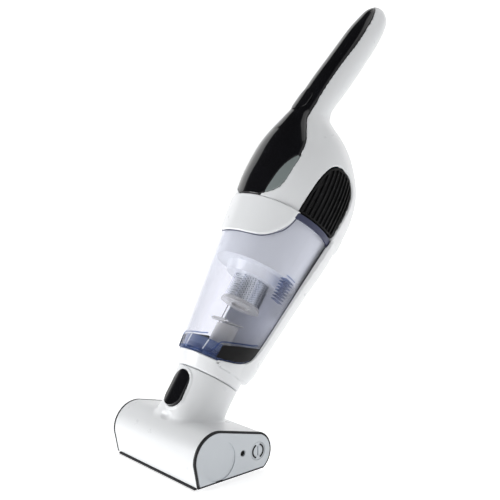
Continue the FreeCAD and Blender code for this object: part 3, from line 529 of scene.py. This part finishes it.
for node, look in (("vortex_ring", "milky"), ("inlet_pipe", "milky"), ("inlet_flap", "milky")):
    NODES[node].data.materials.clear()
    NODES[node].data.materials.append(M[look])

# ---------------------------------------------------------------- housing, spine, handle
DOME = np.array([
    (237.0, 57.5, -64.0, 72.5), (262.0, 58.5, -66.5, 76.3),
    (285.0, 57.5, -65.0, 77.0), (305.0, 54.0, -58.5, 76.0),
    (322.0, 47.6, -47.5, 73.0), (338.0, 38.6, -33.0, 67.6),
    (349.0, 29.5, -18.0, 61.0), (357.0, 19.5, -3.0, 52.0),
    (364.0, 9.0, 12.0, 42.0),
])
HANDLE = np.array([
    (325.0, 20.5, 28.0, 69.4), (350.0, 20.5, 25.0, 66.4),
    (375.0, 20.5, 22.4, 62.4), (400.0, 20.7, 17.4, 58.8),
    (430.0, 20.8, 12.1, 53.5), (460.0, 20.3, 7.6, 48.2), (490.0, 19.1, 4.3, 42.5), (508.0, 16.6, 4.0, 37.6),
    (520.0, 12.2, 7.2, 32.8), (527.0, 6.0, 12.8, 27.2),
])
SPINE = np.array([
    (59.0, 37.2, 4.8), (68.0, 39.4, 2.8), (80.0, 40.4, 2.0), (100.0, 41.4, 0.5), (136.0, 44.4, -2.0),
    (190.0, 50.8, -4.2), (222.0, 55.2, -4.6), (248.0, 57.0, -3.0),
])
SKIN = 2.4


def section(table):
    half, low, high = (spline(table[:, 0], table[:, k]) for k in (1, 2, 3))

    def field(x, v, u):
        a = half(u)
        lo, hi = low(u), high(u)
        b = (hi - lo) / 2
        r = np.sqrt((x / a) ** 2 + ((v - (lo + hi) / 2) / b) ** 2)
        return (r - 1) * np.minimum(a, b)

    return field


dome_section = section(DOME)
handle_section = section(HANDLE)
spine_r = spline(SPINE[:, 0], SPINE[:, 1])
spine_c = spline(SPINE[:, 0], SPINE[:, 2])


def hull(x, v, u):
    dome = smax(dome_section(x, v, u), u - 362.0, 5.0)
    handle = smax(handle_section(x, v, u), u - 527.0, 3.0)
    handle = np.maximum(handle, 325.0 - u)
    k = 7.0 + 11.0 * smooth_step((44.0 - v) / 26.0)
    both = smin(dome, handle, k)
    return smax(both, 237.0 - u, 1.2)


cover_rows = [
    (235.0, 10.0), (240.5, 20.0), (248.0, 29.5), (260.0, 34.6), (280.0, 36.4), (297.0, 36.2), (313.0, 33.2),
    (327.0, 26.4), (340.0, 19.6), (352.0, 16.4), (371.0, 15.6), (400.0, 15.0), (431.0, 15.0), (466.0, 15.4),
    (492.0, 13.6), (508.0, 10.6), (520.0, 5.0),
]
loop = [(h, u) for u, h in cover_rows] + [(-h, u) for u, h in reversed(cover_rows)]
COVER = Outline(closed_curve(loop))
floor_line = spline((230, 300, 345, 380, 430, 490, 530), (48, 48, 46, 42, 33, 23, 17))
GRILLE = Outline(closed_curve([
    (226.0, 36.0), (236.5, 36.8), (257.0, 36.2), (278.0, 33.4), (296.0, 27.4), (305.5, 18.6), (308.8, 6.0),
    (306.0, -8.0), (296.0, -18.4), (282.0, -21.6), (262.0, -20.4),
    (236.5, -17.0), (226.0, -15.0), (220.0, 10.0),
]))
edge_line = [(63.4, 60.0), (63.4, 40.0), (64.2, 34.0), (66.0, 27.0), (68.6, 18.0), (71.5, 10.6), (75.2, 4.0),
             (80.0, -1.0), (86.0, -4.2), (94.0, -6.0), (120.0, -8.6), (180.0, -14.2), (250.0, -21.0)]
FRAME = Outline(edge_line + [(262.0, -22.0), (262.0, -100.0), (30.0, -100.0), (30.0, 60.0)], 0.6, 30.0)


def cup_r(u):
    return CUP_R + CUP_GROWTH * (u - CUP_U)


def cone(x, v, u):
    """Distance outside the dust cup's wall."""
    return np.sqrt(x * x + (v - CUP_V) ** 2) - cup_r(u)


def cover_space(x, v, u):
    return np.maximum(COVER(x, u), floor_line(u) - v)


def housing(x, y, z):
    v, u = -y, z
    outer = hull(x, v, u)
    port = np.sqrt(x * x + (u - 292.0) ** 2)
    boss = np.maximum(np.maximum(port - 8.6, outer - 0.9), v + 50.0)
    shell = smin(np.maximum(outer, -(outer + SKIN)), np.maximum(boss, -(outer + SKIN)), 2.0)
    shell = smax(shell, -np.maximum(port - 5.1, v + 50.0), 0.8)
    shell = smax(shell, -cover_space(x, v, u), 0.9)
    side = np.maximum(GRILLE(u, v), 20.0 - np.abs(x))
    shell = bevel_and(shell, -side, 0.0)
    shell = np.maximum(shell, (outer - side + 2.8) * 0.70711)
    spine = np.sqrt(x * x + (v - spine_c(u)) ** 2) - spine_r(u)
    spine = np.maximum(smax(spine, 59.0 - u, 1.0), u - 248.0)
    t = (u - 48.0) / 16.0
    collar = np.sqrt(x * x + (v - 8.0 - 3.5 * t) ** 2) - (34.6 + 3.4 * t)
    collar = smax(smax(collar, 48.0 - u, 2.6), u - 63.4, 0.8)
    back = smin(spine, collar, 2.5)
    back = bevel_and(back, FRAME(u, v), 0.9 + 2.5 * smooth_step((u - 78.0) / 30.0))
    back = smax(back, -np.maximum(cone(x, v, u) - 0.6, 63.4 - u), 0.5)
    back = np.maximum(back, -np.maximum(cone(x, v, u) - 2.2, 227.6 - u))
    mouth = np.maximum(np.sqrt(x * x + (v - 7.0) ** 2) - 24.0, u - 70.0)
    back = np.maximum(back, -mouth)
    inner = np.maximum(outer + SKIN, 237.0 - u)
    back = np.maximum(back, -inner)
    k = 1.2 + 5.0 * smooth_step((-24.0 - v) / 20.0)
    return smin(shell, back, k)


def lower_lip(x, y, z):
    v, u = -y, z
    c = cone(x, v, u)
    t = smooth_step((u - 52.0) / 9.0)
    full = smooth_step((39.0 - v) / 12.0)
    d = smax(c + 0.4 - 2.0 * full + 3.2 * (1 - t), 0.25 - c, 0.3)
    d = smax(d, FRAME(u, v) + 0.1, 0.7)
    return np.maximum(np.maximum(d, 57.0 - u), np.maximum(u - 100.0, -14.0 - v))


STEP = 1.15
body_net("housing_skin", housing, (-62.5, -80.0, 45.0), (62.5, 71.0, 530.0), STEP, M["white_shell"],
         "vacuum_body", ("main_housing",))
body_net("lower_lip", lower_lip, (-44.0, -54.0, 55.0), (44.0, 17.0, 103.0), 0.7, M["white_shell"],
         "vacuum_body")

# ---------------------------------------------------------------- gloss cover and lens
LENS = Outline(closed_curve([
    (19.6, 236.0), (21.4, 247.0), (23.6, 257.7), (28.6, 278.0), (35.2, 293.0), (42.0, 290.0), (46.0, 262.0),
    (44.0, 238.0), (34.0, 230.0), (22.0, 230.0),
]))
BUTTON = Outline(closed_curve([(10.2 * math.cos(a), 365.0 + 15.2 * math.sin(a))
                               for a in np.linspace(0, 2 * math.pi, 16, endpoint=False)]), 0.4)


def gloss_cover(x, y, z):
    v, u = -y, z
    outer = hull(x, v, u)
    d = np.maximum(outer, -(outer + SKIN))
    d = smax(d, COVER(x, u) + 0.35, 1.0)
    d = np.maximum(d, floor_line(u) + 0.3 - v)
    d = np.maximum(d, -np.maximum(LENS(x, u), 40 - v))
    return smax(d, -np.maximum(BUTTON(x, u) - 0.4, 40 - v), 0.6)


def lens_plate(x, y, z):
    v, u = -y, z
    outer = hull(x, v, u)
    d = np.maximum(outer + 0.15, -(outer + SKIN))
    d = smax(d, COVER(x, u) + 0.5, 0.6)
    d = np.maximum(d, floor_line(u) + 0.3 - v)
    return smax(d, LENS(x, u) + 0.12, 0.5)


body_net("gloss_cover", gloss_cover, (-38.5, -79.0, 233.0), (38.5, -10.0, 524.0), 1.0,
         M["gloss_black"], "vacuum_body", ("top_cover",))
body_net("status_lens", lens_plate, (17.0, -79.0, 233.0), (40.0, -40.0, 297.0), 0.8,
         M["window_tint"], "vacuum_body", ("display_window",))


# ---------------------------------------------------------------- brush head
def head_profile():
    cy, cz, r = -23.8, 27.3, 26.6
    slope = math.radians(14.25)

    def on(degrees, radius=r):
        return cy + radius * math.cos(math.radians(degrees)), cz + radius * math.sin(math.radians(degrees))

    points = [(cy - r + 4.6, 2.6)]
    points += [on(a) for a in np.linspace(183, 90 - 14.25, 60)]
    fy, fz = points[-1]
    by, bz = fy + 53.6 * math.cos(slope), fz - 53.6 * math.sin(slope)
    p0, p1, p2 = np.array((by, bz)), np.array((by + 12.4, bz - 18.1)), np.array((by + 2.4, 2.6))
    a = np.array([p1 - p0, p2 - p0]) * 2
    b = np.array([p1 @ p1 - p0 @ p0, p2 @ p2 - p0 @ p0])
    c = np.linalg.solve(a, b)
    rad = np.linalg.norm(p0 - c)
    a0 = math.atan2(*(p0 - c)[::-1])
    a2 = math.atan2(*(p2 - c)[::-1])
    points += [(c[0] + rad * math.cos(t), c[1] + rad * math.sin(t)) for t in np.linspace(a0, a2, 40)]
    return points


PROFILE = Outline(head_profile(), 0.5, 34.0)
NECK = np.array([
    (-20.0, 33.2, 30.0, 3.6, 3.6), (-6.0, 32.6, 31.0, 4.2, 3.2), (8.0, 32.0, 31.6, 4.9, 2.5),
    (24.0, 32.4, 32.4, 6.0, 2.1), (48.0, 33.9, 33.9, 7.2, 2.0),
])
neck_half, neck_rise, neck_mid, neck_power = (spline(NECK[:, 0], NECK[:, k]) for k in (1, 2, 3, 4))


def stadium_distance(x, u, u0, u1, half):
    t = np.clip(u, u0 + half, u1 - half)
    return np.sqrt(x * x + (u - t) ** 2) - half


def neck_skin(x, v, u):
    p = neck_power(u)
    r = (np.abs(x / neck_half(u)) ** p + np.abs((v - neck_mid(u)) / neck_rise(u)) ** p) ** (1 / p)
    return (r - 1) * neck_rise(u)


def head(x, y, z):
    bx, v, u = to_body(x, y, z)
    drum = PROFILE(y, z)
    skin = neck_skin(bx, v, u)
    slot = stadium_distance(bx, u, 3.6, 43.4, 11.9)
    neck = np.maximum(smax(skin, u - 47.4, 1.4), -20.0 - u)
    lip = np.maximum(np.maximum(np.abs(slot - 1.3) - 1.3, skin - 0.75), 20.0 - v)
    neck = smin(neck, lip, 1.2)
    shell = smin(drum, neck, 2.6)
    scoop = (np.sqrt((bx / 12.5) ** 2 + ((v - 41.0) / 7.6) ** 2 + ((u + 6.0) / 6.6) ** 2) - 1) * 6.6
    shell = smax(shell, -scoop, 0.8)
    shell = smax(shell, np.abs(x) - 68.15, 0.4)
    room = np.minimum(np.maximum(drum + 2.2, np.abs(x) - 72), np.maximum(skin + 2.6, -drum))
    shell = np.maximum(shell, -np.maximum(room, 2.0 - scoop))
    duct = np.maximum(np.sqrt(bx * bx + (v - 8.0) ** 2) - 14.0, np.maximum(-20.0 - u, u - 12.0))
    shell = np.maximum(shell, -duct)
    below = np.maximum(np.maximum(np.maximum(-43.8 - y, y - 34.0), z - 4.8), np.abs(x) - 64.5)
    shell = np.maximum(shell, -below)
    return smax(shell, -np.maximum(slot, 32.0 - v), 0.6)


plain_net("head_skin", head, (-70.5, -53.0, 1.0), (70.5, 66.0, 102.0), 1.0,
          M["white_shell"], "brush_head", ("head_shell",))


# ---------------------------------------------------------------- exhaust grilles
def grille(x, y, z):
    v, u = -y, z
    outer = hull(x, v, u)
    plate = np.maximum(outer + 1.5, -(outer + 4.4))
    d = np.maximum(plate, GRILLE(u, v) + 0.3)
    d = np.maximum(d, 237.4 - u)
    d = np.maximum(d, 40.0 - np.abs(x))
    t = (v - 8.0) / GRILLE_PITCH
    across = np.abs(t - np.round(t)) * GRILLE_PITCH
    rib = GRILLE_PITCH / 2 - across
    groove = np.maximum(rib - 1.95, GRILLE(u, v) + 2.6)
    groove = np.maximum(groove, 240.4 - u)
    return smax(d, -np.maximum(groove, -(outer + 3.6)), 0.5)


for side, low, high in (("left", -62.0, -40.0), ("right", 40.0, 62.0)):
    body_net("vent_" + side, grille, (low, -40.0, 235.0), (high, 26.0, 312.0), 0.8, M["matte_black"],
             "vacuum_body", ("exhaust_grille_" + side,))

# ---------------------------------------------------------------- dust cup
CHIN = Outline(closed_curve([
    (52.6, 246.0), (51.6, 234.0), (48.2, 219.5), (41.8, 207.0), (34.0, 199.2), (22.0, 195.6), (8.0, 195.0),
    (-8.0, 195.0), (-22.0, 195.6), (-34.0, 199.2), (-41.8, 207.0),
    (-48.2, 219.5), (-51.6, 234.0), (-52.6, 246.0),
    (0.0, 262.0),
]))


def chin(x, y, z):
    v, u = -y, z
    wall = np.abs(cone(x, v, u) - 1.42) - CHIN_WALL / 2
    d = smax(wall, CHIN(x, u), 1.3)
    return np.maximum(smax(d, u - 236.6, 0.8), 28.0 - v)


body_net("chin_skin", chin, (-64.0, -76.0, 192.0), (64.0, -27.0, 238.5), 1.0, M["white_shell"],
         "dust_cup", ("cup_collar",))


def cup_lathe(name, profile, material, replaces=(), arc=None, segments=168):
    verts, faces = lathe(profile, segments, arc)
    verts = np.stack([verts[:, 0], -CUP_V - verts[:, 1], verts[:, 2]], 1)
    return new_object(name, to_world(verts), faces, M[material], "dust_cup", None, replaces)


wall = [(cup_r(67) - 0.4, 67.05)]
wall += [(cup_r(u), u) for u in (67.4, 90, 120, 150, 180, 205, 226, 228.2, 234.5)]
wall += [(cup_r(234.9) - 0.4, 234.95), (cup_r(234.9) - 1.6, 234.95)]
wall += [(cup_r(u) - CUP_WALL, u) for u in (234.5, 205, 180, 150, 120, 90, 67.4)]
wall.append((cup_r(67) - 1.7, 67.05))
cup_lathe("clear_cup", wall, "smoke_clear", ("dust_bin",))


def base(x, y, z):
    v, u = -y, z
    c = cone(x, v, u)
    disc = np.maximum(smax(c, 64.0 - u, 1.4), u - 67.0)
    cuff = np.maximum(np.maximum(c + 2.15, -(c + 3.5)), np.maximum(66.0 - u, u - 71.9))
    bowl = smin(disc, cuff, 0.8)
    hollow = np.maximum(c + 6.0, 65.6 - u)
    bowl = smax(bowl, -np.maximum(hollow, u - 67.6), 0.8)
    return smax(bowl, -(np.sqrt(x * x + (v - 14.0) ** 2) - 12.05), 0.5)


body_net("cup_base", base, (-39.5, -51.5, 62.5), (39.5, 28.5, 73.5), 1.0, M["blue_clear"],
         "dust_cup", ("bin_base",))

# thin guide vanes that stand in from the cup's wall, by the spine
for row in range(VANE_COUNT):
    low = VANE_LOW + VANE_PITCH * row
    wide = cup_r(low) - 2.3
    cup_lathe("guide_vane_%d" % row, [(39.6, low), (wide, low), (wide, low + 0.8), (39.6, low + 0.8)],
              "blue_clear", (), (math.radians(-19), math.radians(1)), 16)


def sump(x, y, z):
    v, u = -y, z
    c = cone(x, v, u)
    wall = np.abs(c + 3.1) - 0.65
    return smax(np.maximum(wall, 67.4 - u), u - (79.8 + 0.02 * x), 0.4)


body_net("sump_wall", sump, (-40.0, -52.5, 66.0), (40.0, 29.5, 82.5), 0.9, M["sump_tint"],
         "dust_cup")


def tube(name, path, radius, material, body, sides=10):
    """Round bead along a list of world points."""
    p = np.asarray(path, float)
    n = len(p)
    verts, faces = [], []
    for k in range(n):
        run = Vector(p[min(k + 1, n - 1)] - p[max(k - 1, 0)]).normalized()
        side = run.cross(Vector((0.31, 0.17, 0.93))).normalized()
        top = run.cross(side)
        for j in range(sides):
            a = 2 * math.pi * j / sides
            verts.append(Vector(p[k]) + (side * math.cos(a) + top * math.sin(a)) * radius * MM)
    for k in range(n - 1):
        for j in range(sides):
            a, b = k * sides + j, k * sides + (j + 1) % sides
            faces.append((a, a + sides, b + sides, b))
    faces.append(tuple(range(sides)))
    faces.append(tuple(range((n - 1) * sides, n * sides)))
    return new_object(name, verts, faces, M[material], body)


def on_wall(v, u, side, lift):
    """Body-frame point on the cup's flank at that height, lifted off its wall."""
    r = cup_r(u) + lift
    return side * math.sqrt(max(r * r - (v - CUP_V) ** 2, 0.0)), -v, u


pad_frame = closed_curve([
    (66.4, 39.6), (73.0, 39.8), (79.4, 39.0), (82.4, 36.6), (85.8, 29.0), (89.4, 20.0), (93.2, 9.4),
    (96.6, -1.0)], 6)[:-8]
for side, label in ((1, "right"), (-1, "left")):
    path = to_world([on_wall(v, u, side, 0.35) for u, v in pad_frame])
    tube("pad_frame_" + label, path, 0.75, "blue_clear", "dust_cup")
edge_u = np.linspace(79.0, 226.0, 60)
edge_v = np.interp(edge_u, [p[0] for p in edge_line[4:]], [p[1] for p in edge_line[4:]])
for side, label in ((1, "right"), (-1, "left")):
    path = to_world([on_wall(v + 0.9, u, side, 1.35) for u, v in zip(edge_u, edge_v)])
    tube("edge_seal_" + label, path, 0.45, "soft_black", "vacuum_body")

# two leaning white strips on the cup's inner front wall, in the blue part: ribs there, with their white a
# painted highlight
for x, low, high in ((-9.0, 66.0, 80.5), (15.0, 68.0, 79.0)):
    path = []
    for u in np.linspace(low, high, 8):
        across = x + 0.25 * (u - low)
        path.append((across, -CUP_V - math.sqrt((cup_r(u) - 2.9) ** 2 - across ** 2), u))
    tube("sump_rib_highlight_%d" % abs(int(x)), to_world(path), 0.95, "white_shell", "dust_cup")

# ---------------------------------------------------------------- painted shade in the coin lock's grooves, trim, and a painted shadow line under the chin
# black arcs laid in the coin's two grooves: painted shade of the grooves
for label, start in (("upper", 0.0), ("lower", math.pi)):
    verts, faces = lathe([(6.1, 69.0), (7.7, 69.0), (7.7, 70.12), (6.1, 70.12)], 28,
                         (start - math.radians(68), start + math.radians(68)))
    verts = np.stack([verts[:, 2], LOCK_Y + verts[:, 0], LOCK_Z + verts[:, 1]], 1)
    new_object("lock_groove_shade_" + label, plain_mm(verts), faces, M["soft_black"], "coin_turn")
TRIM = np.array(head_profile())
step_out = np.roll(TRIM, -1, 0) - np.roll(TRIM, 1, 0)
step_out = np.stack([step_out[:, 1], -step_out[:, 0]], 1) / np.linalg.norm(step_out, axis=1)[:, None]
if np.sum(step_out * (TRIM - TRIM.mean(0))) < 0:
    step_out = -step_out
for side, label in ((1, "right"), (-1, "left")):
    verts, faces = [], []
    rows = ((67.0, -1.7), (67.1, 0.12), (67.5, 0.28), (69.2, 0.28), (69.6, 0.0), (69.6, -1.7))
    for x, lift in rows:
        verts += [(side * x, *(p + n * lift)) for p, n in zip(TRIM, step_out)]
    count = len(TRIM)
    for k in range(len(rows)):
        for j in range(count):
            a, b = k * count + j, k * count + (j + 1) % count
            c, d = ((k + 1) % len(rows)) * count + j, ((k + 1) % len(rows)) * count + (j + 1) % count
            faces.append((a, b, d, c))
    new_object("trim_line_" + label, plain_mm(np.array(verts)), faces, M["soft_black"], "brush_head",
               None, ("trim_band_" + label,))
# a navy bead just under the chin's lower edge: painted contact shadow where the chin meets the cup
chin_low = spline((0.0, 8.0, 22.0, 34.0, 41.8, 48.2, 51.6), (195.0, 195.0, 195.6, 199.2, 207.0, 219.5, 234.0))
path = []
for x in np.linspace(-51.4, 51.4, 110):
    edge = float(chin_low(abs(x)))
    path.append((x, -CUP_V - math.sqrt((cup_r(edge) + 0.1) ** 2 - x * x), edge - 0.3))
tube("chin_shadow", to_world(path), 0.5, "navy_seal", "dust_cup")
# the steel cap screws are turned matte black: painted shade of the dark screw holes
NODES["cap_screws"].data.materials.clear()
NODES["cap_screws"].data.materials.append(M["matte_black"])

# ---------------------------------------------------------------- camera, light, floor
turn = math.radians(48.4)
rise = math.radians(7.3)
right = Vector((math.cos(turn), math.sin(turn), 0))
back = Vector((math.sin(turn) * math.cos(rise), -math.cos(turn) * math.cos(rise), math.sin(rise)))
up = back.cross(right)
camera = bpy.data.objects.new("camera", bpy.data.cameras.new("camera"))
camera.matrix_world = Matrix((
    (right.x, up.x, back.x, 0.67617),
    (right.y, up.y, back.y, -0.51951),
    (right.z, up.z, back.z, 0.32942),
    (0, 0, 0, 1),
))
camera.data.sensor_width = 36.0
camera.data.lens = 61.2
camera.data.clip_start = 0.01
bpy.context.scene.collection.objects.link(camera)
bpy.context.scene.camera = camera


def floor_material():
    m, t = nodes_of("studio_floor")
    out = t.nodes.new("ShaderNodeOutputMaterial")
    p = t.nodes.new("ShaderNodeBsdfPrincipled")
    where = t.nodes.new("ShaderNodeTexCoord").outputs["Object"]
    shade = mix_colour(t, noise(t, where, 3.0), (0.93, 0.93, 0.93), (0.95, 0.95, 0.95))
    link(t, shade, p.inputs["Base Color"])
    p.inputs["Roughness"].default_value = 0.9
    p.inputs["Specular IOR Level"].default_value = 0.1
    p.inputs["Emission Color"].default_value = (1, 1, 1, 1)
    p.inputs["Emission Strength"].default_value = 0.55
    link(t, p.outputs["BSDF"], out.inputs["Surface"])
    return m


def studio_floor():
    mesh = bpy.data.meshes.new("studio_floor")
    rows = [(-4.0, 0.0), (2.2, 0.0)]
    rows += [(2.2 + 1.2 * math.sin(a), 1.2 - 1.2 * math.cos(a)) for a in np.linspace(0.1, math.pi / 2, 16)]
    rows.append((3.4, 4.5))
    d = Vector((-back.x, -back.y, 0)).normalized()
    s = Vector((d.y, -d.x, 0))
    verts, faces = [], []
    for run, height in rows:
        for side in (-5, 5):
            p = d * run + s * side
            verts.append((p.x, p.y, height))
    for i in range(len(rows) - 1):
        faces.append((2 * i, 2 * i + 1, 2 * i + 3, 2 * i + 2))
    mesh.from_pydata(verts, [], faces)
    mesh.polygons.foreach_set("use_smooth", np.ones(len(mesh.polygons), bool))
    mesh.materials.append(floor_material())
    o = bpy.data.objects.new("studio_floor", mesh)
    bpy.context.scene.collection.objects.link(o)


def area_light(name, place, target, size, power):
    data = bpy.data.lights.new(name, "AREA")
    data.shape = "RECTANGLE"
    data.size, data.size_y = size
    data.energy = power
    o = bpy.data.objects.new(name, data)
    o.location = place
    o.rotation_euler = (Vector(target) - Vector(place)).to_track_quat("-Z", "Y").to_euler()
    bpy.context.scene.collection.objects.link(o)


studio_floor()
centre = (0, 0.1, 0.22)
area_light("key", (-0.75, -1.6, 0.5), centre, (1.1, 0.8), 22)
area_light("top", (0.3, 0.8, 1.9), centre, (1.6, 1.2), 5.5)


def studio_world():
    """Soft white studio with a dark gap overhead in front, which keeps the black gloss deep."""
    world = bpy.data.worlds.new("studio")
    world.use_nodes = True
    t = world.node_tree
    sky = t.nodes["Background"]
    where = t.nodes.new("ShaderNodeTexCoord").outputs["Generated"]
    dot = t.nodes.new("ShaderNodeVectorMath")
    dot.operation = "DOT_PRODUCT"
    dot.inputs[1].default_value = Vector((-0.2, -0.55, 0.8)).normalized()
    link(t, where, dot.inputs[0])
    ramp = spread(t, dot.outputs["Value"], 0.86, 0.03, 0.34, 0.70)
    far = t.nodes.new("ShaderNodeVectorMath")
    far.operation = "DOT_PRODUCT"
    far.inputs[1].default_value = Vector((0.9, 0.35, 0.1)).normalized()
    link(t, where, far.inputs[0])
    both = t.nodes.new("ShaderNodeMath")
    both.operation = "MULTIPLY"
    link(t, ramp, both.inputs[0])
    link(t, spread(t, far.outputs["Value"], 1.0, 0.72, -0.1, 0.8), both.inputs[1])
    link(t, both.outputs["Value"], sky.inputs["Strength"])
    sky.inputs["Color"].default_value = (1, 1, 1, 1)
    bpy.context.scene.world = world


studio_world()
bpy.context.scene.view_settings.view_transform = "Standard"
bpy.context.scene.view_settings.look = "None"
